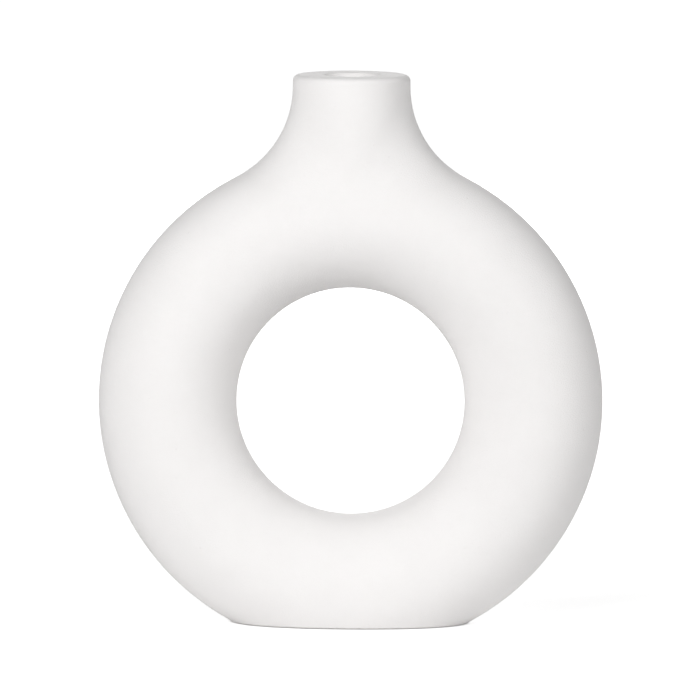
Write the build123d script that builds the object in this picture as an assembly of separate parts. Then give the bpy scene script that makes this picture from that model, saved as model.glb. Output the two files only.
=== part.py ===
from build123d import *
from build123d.topology import SkipClean
import os
from math import cos, radians, sin, sqrt

# Donut vase: a hollow ceramic ring that stands on an oval foot, with a short neck flaring into its top.
# It is made as two cast half shells, front and back, luted together with slip on the plane through the
# ring, glazed inside to hold water, and set on four stick-on pads.
# Frame: the origin is on the standing surface, under the middle of the foot. X runs across the ring,
# Y through its hole with the front towards -Y, and Z up. All sizes are in millimetres.

# Ring
hole_diameter = 82.6
tube_diameter = 50.0
wall = 6.0
foot_cut = 10.8  # how far the flat foot cuts into the bottom of the ring
floor_thickness = 7.0  # from the foot up to the inside floor

# Neck and mouth
neck_step = 3.75  # how much slimmer the neck is than the tube, on each side
neck_height = 27.2  # above the top of the ring
neck_straight = 2.05  # upright part of its side, between the shoulder and the lip
neck_wall = 12.35  # with the glaze in it
throat_radius = 8.0  # inside, where the bore opens into the ring
lip_outer_radius = 2.2
lip_inner_radius = 1.4

# Foot
foot_edge_radius = 1.0
foot_rim_width = 4.5
foot_recess_depth = 1.7

# Joint between the halves, and the glaze
slip_thickness = 0.8
glaze_thickness = 0.4
glaze_edge_thickness = 0.1  # where the glaze thins out below the lip
glaze_edge_length = 1.5

# Pads
pad_diameter = 9.0
pad_thickness = 2.0
pad_edge_radius = 0.6
pad_margin = 1.5  # from a pad to the wall of the recess
pad_angle = 52.0  # round the oval of the recess, from its long axis

# Worked out from the sizes above
tube_radius = tube_diameter / 2
ring_radius = hole_diameter / 2 + tube_radius  # to the middle of the tube
outer_radius = ring_radius + tube_radius
neck_radius = tube_radius - neck_step
bore_radius = neck_radius - neck_wall  # inside the glaze
foot_z = pad_thickness - foot_recess_depth
recess_z = foot_z + foot_recess_depth
ring_z = foot_z + outer_radius - foot_cut
neck_base_z = ring_z + ring_radius
mouth_z = ring_z + outer_radius + neck_height
half_slip = slip_thickness / 2

# Seen from the front, the shoulder is one arc: it touches the outside of the ring, and the side of the
# neck where its upright part ends
shoulder_top = outer_radius + neck_height - lip_outer_radius - neck_straight  # above the middle of the ring
shoulder_radius = (shoulder_top**2 - outer_radius**2 + neck_radius**2) / (2 * (outer_radius - neck_radius))

# The foot is the oval in which the standing plane cuts the ring
foot_half_length = sqrt(outer_radius**2 - (outer_radius - foot_cut) ** 2)
foot_half_depth = sqrt(tube_radius**2 - (tube_radius - foot_cut) ** 2)
recess_half_length = foot_half_length - foot_rim_width
recess_half_depth = foot_half_depth - foot_rim_width

room = 4 * mouth_z  # side of a block that takes in the whole vase


def in_front_of(y):
    """A block that holds everything on the front side of the plane at y."""
    return Pos(0, y, 0) * Box(room, room, room, align=(Align.CENTER, Align.MAX, Align.CENTER))


def below(z):
    """A block that holds everything under the height z."""
    return Pos(0, 0, z) * Box(room, room, room, align=(Align.CENTER, Align.CENTER, Align.MAX))


def turned(front):
    """A front half turned half a turn on the spot, which makes it the back half."""
    return Rot(0, 0, 180) * front


def both_sides(front):
    """A front half and the matching back half, as one shape."""
    with SkipClean():
        return front + turned(front)


def half_ring(radius):
    """Front half of the ring, for a tube of this radius."""
    across_tube = Plane(origin=(0, 0, ring_z - ring_radius), x_dir=(0, -1, 0), z_dir=(1, 0, 0))
    front_of_tube = Circle(radius) & Pos(radius, 0) * Rectangle(2 * radius, 3 * radius)
    return revolve(across_tube * front_of_tube, axis=Axis((0, 0, ring_z), (0, 1, 0)))


def half_neck(radius, top_z):
    """Front half of a straight neck, from the middle of the tube up to top_z."""
    upright = Cylinder(radius, top_z - neck_base_z, align=(Align.CENTER, Align.CENTER, Align.MIN))
    return Pos(0, 0, neck_base_z) * upright & in_front_of(0)


def blended(ring, neck, radius):
    """The ring and the neck as one form, with a hollow curve of this radius where they meet."""
    joined = ring + neck
    meeting = joined.edges().filter_by(GeomType.BSPLINE)
    return fillet(meeting, radius)


def half_outside():
    """Front half of the vase as a full form: ring, neck, flat foot and rounded lip."""
    form = blended(half_ring(tube_radius), half_neck(neck_radius, mouth_z), shoulder_radius)
    form -= below(foot_z)
    foot_edge = form.faces().sort_by(Axis.Z)[0].edges().filter_by(GeomType.LINE, reverse=True)
    form = fillet(foot_edge, foot_edge_radius)
    lip = form.faces().sort_by(Axis.Z)[-1].edges().filter_by(GeomType.CIRCLE)
    return fillet(lip, lip_outer_radius)


def half_hollow(glaze):
    """Front half of the space inside, with this much glaze on its walls."""
    ring = half_ring(tube_radius - wall - glaze)
    bore = half_neck(bore_radius + glaze_thickness - glaze, mouth_z)
    space = blended(ring, bore, throat_radius + glaze)
    return space - below(foot_z + floor_thickness + glaze)


def half_body():
    """Front half of the fired clay: hollow, with a rounded mouth and a recess under the foot."""
    clay = half_outside() - half_hollow(0)
    mouth = clay.faces().sort_by(Axis.Z)[-1].edges().filter_by(GeomType.CIRCLE).sort_by(SortBy.RADIUS)[0]
    clay = fillet(mouth, lip_inner_radius)
    recess = extrude(Ellipse(recess_half_length, recess_half_depth), foot_recess_depth)
    return clay - Pos(0, 0, foot_z) * recess


def half_lining():
    """Front half of the glaze inside, from the floor up to the foot of the lip."""
    top_z = mouth_z - lip_inner_radius
    coat = (half_hollow(0) - half_hollow(glaze_thickness)) & below(top_z)
    edge = coat.faces().sort_by(Axis.Z)[-1].edges().filter_by(GeomType.CIRCLE).sort_by(SortBy.RADIUS)[0]
    return chamfer(edge, glaze_thickness - glaze_edge_thickness, glaze_edge_length)


def foot_pads():
    """The four pads, each seated on the floor of the recess, by the name of its corner."""
    upright = Cylinder(pad_diameter / 2, pad_thickness, align=(Align.CENTER, Align.CENTER, Align.MIN))
    pad = fillet(upright.edges().sort_by(Axis.Z)[0], pad_edge_radius)
    inset = pad_diameter / 2 + pad_margin
    x = (recess_half_length - inset) * cos(radians(pad_angle))
    y = (recess_half_depth - inset) * sin(radians(pad_angle))
    corners = {"front_left": (-x, -y), "front_right": (x, -y), "back_left": (-x, y), "back_right": (x, y)}
    return {"foot_pad_" + corner: Pos(*place, recess_z - pad_thickness) * pad for corner, place in corners.items()}


def pieces():
    """Every piece of the vase, by name."""
    clay = half_body()
    front_shell = clay & in_front_of(-half_slip)
    return {
        "front_shell": front_shell,
        "back_shell": turned(front_shell),
        "seam_slip": both_sides(clay - in_front_of(-half_slip)),
        "glaze_lining": both_sides(half_lining()),
        **foot_pads(),
    }


os.makedirs("parts", exist_ok=True)
for name, piece in pieces().items():
    export_step(piece, f"parts/{name}.step")
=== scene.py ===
from math import cos, pi, radians, sin

import bpy
from mathutils import Matrix, Vector

# Donut vase: materials for the CAD's own meshes, and the floor, light and camera of the photograph.
# Lengths are in metres, angles in degrees, and colours are linear.

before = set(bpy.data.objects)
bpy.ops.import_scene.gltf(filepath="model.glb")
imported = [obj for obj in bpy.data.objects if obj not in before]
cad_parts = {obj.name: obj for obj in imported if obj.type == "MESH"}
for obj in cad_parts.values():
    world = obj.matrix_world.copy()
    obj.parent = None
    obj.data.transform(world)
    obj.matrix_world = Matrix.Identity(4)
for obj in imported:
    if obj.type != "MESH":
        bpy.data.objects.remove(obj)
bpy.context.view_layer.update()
scene = bpy.context.scene


# Helpers for node trees

class Shading:
    """A new material or world, with short ways to add nodes to its tree."""

    def __init__(self, owner):
        self.owner = owner
        owner.use_nodes = True
        self.tree = owner.node_tree
        self.tree.nodes.clear()

    def node(self, kind, settings=None, **inputs):
        """A node of this kind. An input is a plain value, or the output socket that feeds it."""
        node = self.tree.nodes.new("ShaderNode" + kind)
        for name, value in (settings or {}).items():
            setattr(node, name, value)
        for name, value in inputs.items():
            self.feed(node.inputs[name.replace("_", " ")], value)
        return node

    def feed(self, socket, value):
        """Links or sets one input socket."""
        if isinstance(value, bpy.types.NodeSocket):
            self.tree.links.new(value, socket)
        else:
            socket.default_value = value

    def math(self, operation, first, second):
        """The result of a sum on two numbers."""
        node = self.node("Math", {"operation": operation})
        self.feed(node.inputs[0], first)
        self.feed(node.inputs[1], second)
        return node.outputs["Value"]

    def noise(self, place, scale, detail=2.0):
        """Cloudy noise, with this many clouds to the metre."""
        return self.node("TexNoise", Vector=place, Scale=scale, Detail=detail).outputs["Fac"]

    def span(self, value, low, high, to_low=0.0, to_high=1.0, smooth=False):
        """A value between low and high, carried over to the span from to_low to to_high."""
        curve = "SMOOTHSTEP" if smooth else "LINEAR"
        node = self.node("MapRange", {"interpolation_type": curve}, Value=value,
                         From_Min=low, From_Max=high, To_Min=to_low, To_Max=to_high)
        return node.outputs["Result"]

    def spread(self, noise, low=0.0, high=1.0):
        """Noise, which mostly keeps between 0.3 and 0.7, spread from low to high."""
        return self.span(noise, 0.3, 0.7, to_low=low, to_high=high)

    def blend(self, factor, first, second):
        """A colour between two colours."""
        node = self.node("Mix", {"data_type": "RGBA"}, Factor=factor)
        colours = [socket for socket in node.inputs if socket.type == "RGBA"]
        for socket, colour in zip(colours, (first, second)):
            self.feed(socket, colour)
        return next(socket for socket in node.outputs if socket.type == "RGBA")

    def bump(self, height, depth, strength=1.0, under=None):
        """A bump of this depth, on top of another one if there is one."""
        node = self.node("Bump", Height=height, Distance=depth, Strength=strength)
        if under is not None:
            self.feed(node.inputs["Normal"], under)
        return node.outputs["Normal"]

    def place(self):
        """Where a point of the vase or the floor lies, from the origin of the frame."""
        return self.node("TexCoord").outputs["Object"]

    def seen(self):
        """1 for rays from the camera, in reflections or through glass, and 0 for other rays."""
        path = self.node("LightPath")
        direct = self.math("MAXIMUM", path.outputs["Is Camera Ray"], path.outputs["Is Glossy Ray"])
        return self.math("MAXIMUM", direct, path.outputs["Is Transmission Ray"])

    def join(self, kind, first, second, **inputs):
        """Two shaders, added or mixed."""
        node = self.node(kind, **inputs)
        shaders = [socket for socket in node.inputs if socket.type == "SHADER"]
        for socket, part in zip(shaders, (first, second)):
            self.feed(socket, part.outputs[0])
        return node

    def surface(self, shader):
        """Makes this shader the surface, and returns the material or world."""
        kind = "OutputWorld" if isinstance(self.owner, bpy.types.World) else "OutputMaterial"
        self.node(kind, Surface=shader.outputs[0])
        return self.owner


def new_material(name):
    return Shading(bpy.data.materials.new(name))


# Materials of the vase

foot_z = min(corner[2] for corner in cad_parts["front_shell"].bound_box)
rubbed_height = 0.0005  # how far up from its edge the foot is rubbed


def fired_clay(name, light, dark, rough, grain_depth):
    """Matt white ware: even grain, faint clouds in its tone, rare pinholes, and a warmer rubbed foot."""
    clay = new_material(name)
    place = clay.place()

    clouds = clay.span(clay.noise(place, scale=45, detail=3), 0.35, 0.65)
    height = clay.node("SeparateXYZ", Vector=place).outputs["Z"]
    rubbed = clay.span(height, foot_z, foot_z + rubbed_height, to_low=0.8, to_high=0, smooth=True)
    rubbed_tone = (0.80, 0.77, 0.73, 1)
    tone = clay.blend(rubbed, clay.blend(clouds, dark, light), rubbed_tone)
    roughness = clay.spread(clay.noise(place, scale=320), rough - 0.05, rough + 0.05)

    # One pore in five is open
    pores = clay.node("TexVoronoi", Vector=place, Scale=210)
    pits = clay.span(pores.outputs["Distance"], 0.03, 0.09, to_low=1, to_high=0, smooth=True)
    chance = clay.node("SeparateColor", Color=pores.outputs["Color"]).outputs["Red"]
    pinholes = clay.math("MULTIPLY", pits, clay.math("GREATER_THAN", chance, 0.8))

    skin = clay.bump(clay.noise(place, scale=90), depth=0.00012, strength=0.5)
    skin = clay.bump(clay.noise(place, scale=2200, detail=3), depth=grain_depth, under=skin)
    skin = clay.bump(clay.math("SUBTRACT", 0, pinholes), depth=0.0001, under=skin)
    return clay.surface(clay.node("BsdfPrincipled", Base_Color=tone, Roughness=roughness, Normal=skin,
                                  Specular_IOR_Level=0.15))


def liner_glaze():
    """Glossy white glaze, thick enough to pool and run a little."""
    glaze = new_material("clear_glaze")
    place = glaze.place()
    pooled = glaze.spread(glaze.noise(place, scale=60, detail=3))
    tone = glaze.blend(pooled, (0.87, 0.865, 0.855, 1), (0.84, 0.832, 0.812, 1))
    roughness = glaze.spread(glaze.noise(place, scale=400), 0.1, 0.2)
    runs = glaze.bump(glaze.noise(place, scale=150), depth=0.0002, strength=0.6)
    return glaze.surface(glaze.node("BsdfPrincipled", Base_Color=tone, Roughness=roughness, Normal=runs))


def soft_rubber():
    """Milky grey pad, satin, with a scuffed skin."""
    rubber = new_material("pad")
    place = rubber.place()
    milky = rubber.spread(rubber.noise(place, scale=500))
    tone = rubber.blend(milky, (0.73, 0.73, 0.72, 1), (0.77, 0.77, 0.765, 1))
    scuffs = rubber.noise(place, scale=2600, detail=4)
    roughness = rubber.spread(scuffs, 0.4, 0.58)
    skin = rubber.bump(scuffs, depth=0.00003)
    return rubber.surface(rubber.node("BsdfPrincipled", Base_Color=tone, Roughness=roughness, Normal=skin))


def dress(material, *names):
    """Gives a material to pieces of the CAD."""
    for name in names:
        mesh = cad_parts[name].data
        mesh.materials.clear()
        mesh.materials.append(material)


body_clay = fired_clay("matt_clay", light=(0.849, 0.834, 0.828, 1), dark=(0.836, 0.821, 0.815, 1),
                       rough=0.85, grain_depth=0.0001)
joint_slip = fired_clay("slip", light=(0.849, 0.834, 0.827, 1), dark=(0.838, 0.823, 0.816, 1),
                        rough=0.78, grain_depth=0.00007)
pads = [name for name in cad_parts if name.startswith("foot_pad")]
dress(body_clay, "front_shell", "back_shell")
dress(joint_slip, "seam_slip")
dress(liner_glaze(), "glaze_lining")
dress(soft_rubber(), *pads)


# Floor and background

floor_width = 24
paper_end = 0.08  # how far from the middle of the foot the paper starts to give way to the table
table_start = 0.25  # how far out there is only table
white_start = 0.4  # how far out the floor is seen at its whitest
contact_reach = 0.0006  # how near a piece has to be for the painted contact shadow to darken the floor


def white_paper():
    """White paper on a pale table. It looks white, but keeps the shadow; the line under the foot is partly
    real shadow and partly painted shadow.
    """
    paper = new_material("paper")
    place = paper.place()
    away = paper.node("VectorMath", {"operation": "LENGTH"}, Vector=place).outputs["Value"]

    # What gives light back to the vase
    fibres = paper.noise(place, scale=700, detail=3)
    paper_tone = paper.blend(fibres, (0.93, 0.93, 0.928, 1), (0.95, 0.95, 0.948, 1))
    table_tone = (0.70, 0.70, 0.698, 1)
    tone = paper.blend(paper.span(away, paper_end, table_start, smooth=True), paper_tone, table_tone)
    sheet = paper.node("BsdfDiffuse", Color=tone, Normal=paper.bump(fibres, depth=0.00003))

    # What is seen: a part that takes the shadow, and a glow that makes the rest of the white and is dimmed
    # near the pieces as a painted contact shadow
    shade = paper.node("BsdfDiffuse", Color=(0.55, 0.55, 0.55, 1))
    white = paper.span(away, paper_end, white_start, to_low=0.69, to_high=0.98, smooth=True)
    # Painted contact shadow: the glow is dimmed where a piece is close above the floor, under the foot
    contact = paper.node("AmbientOcclusion", {"samples": 8}, Distance=contact_reach)
    painted_contact_shade = paper.span(contact.outputs["AO"], 0, 0.9, to_low=0.2)
    glow = paper.node("Emission", Strength=paper.math("MULTIPLY", white, painted_contact_shade))
    looks = paper.join("AddShader", shade, glow)
    return paper.surface(paper.join("MixShader", sheet, looks, Fac=paper.seen()))


bpy.ops.mesh.primitive_plane_add(size=floor_width)
floor = bpy.context.object
floor.name = "floor"
floor.data.materials.append(white_paper())


# Light

lamp_distance = 1.8
lamp_width = 1.2
lamp_target = Vector((0, 0, 0.1))  # about half way up the vase


def look_from(obj, target, azimuth, elevation, distance, roll=0.0):
    """Sets a lamp or camera round its target and aims it, 0 degrees being the front and 90 the right."""
    side, up = radians(azimuth), radians(elevation)
    towards = Vector((sin(side) * cos(up), -cos(side) * cos(up), sin(up)))
    aim = (-towards).to_track_quat("-Z", "Y").to_matrix().to_4x4()
    turn = aim @ Matrix.Rotation(radians(roll), 4, "Z")
    obj.matrix_world = Matrix.Translation(target + distance * towards) @ turn


def soft_lamp(name, azimuth, elevation, level, width=lamp_width):
    """A round lamp. At level 1 it alone shows a colour that faces it about as written."""
    data = bpy.data.lights.new(name, "AREA")
    data.shape = "DISK"
    data.size = width
    data.energy = level * (pi * lamp_distance) ** 2
    lamp = bpy.data.objects.new(name, data)
    scene.collection.objects.link(lamp)
    look_from(lamp, lamp_target, azimuth, elevation, lamp_distance)
    lamp.visible_camera = False


def studio_world(level):
    """Even light from all round, and a white background where it is seen."""
    world = Shading(bpy.data.worlds.new("studio"))
    strength = world.span(world.seen(), 0, 1, to_low=level)
    return world.surface(world.node("Background", Color=(1, 1, 1, 1), Strength=strength))


soft_lamp("key", azimuth=-30, elevation=25, level=0.785)
soft_lamp("fill", azimuth=60, elevation=25, level=0.39)
soft_lamp("back", azimuth=180, elevation=13, level=0.55, width=0.8)
scene.world = studio_world(level=0.12)


# Camera, fitted to the outline in the photograph

camera_data = bpy.data.cameras.new("camera")
camera_data.sensor_width = 36
camera_data.lens = 434.33
camera_data.clip_end = 100
camera = bpy.data.objects.new("camera", camera_data)
scene.collection.objects.link(camera)
look_from(camera, target=Vector((-0.00023, 0, 0.09931)), azimuth=1.8564, elevation=6.2311,
          distance=3.0572, roll=0.224)
scene.camera = camera

scene.view_settings.view_transform = "Standard"
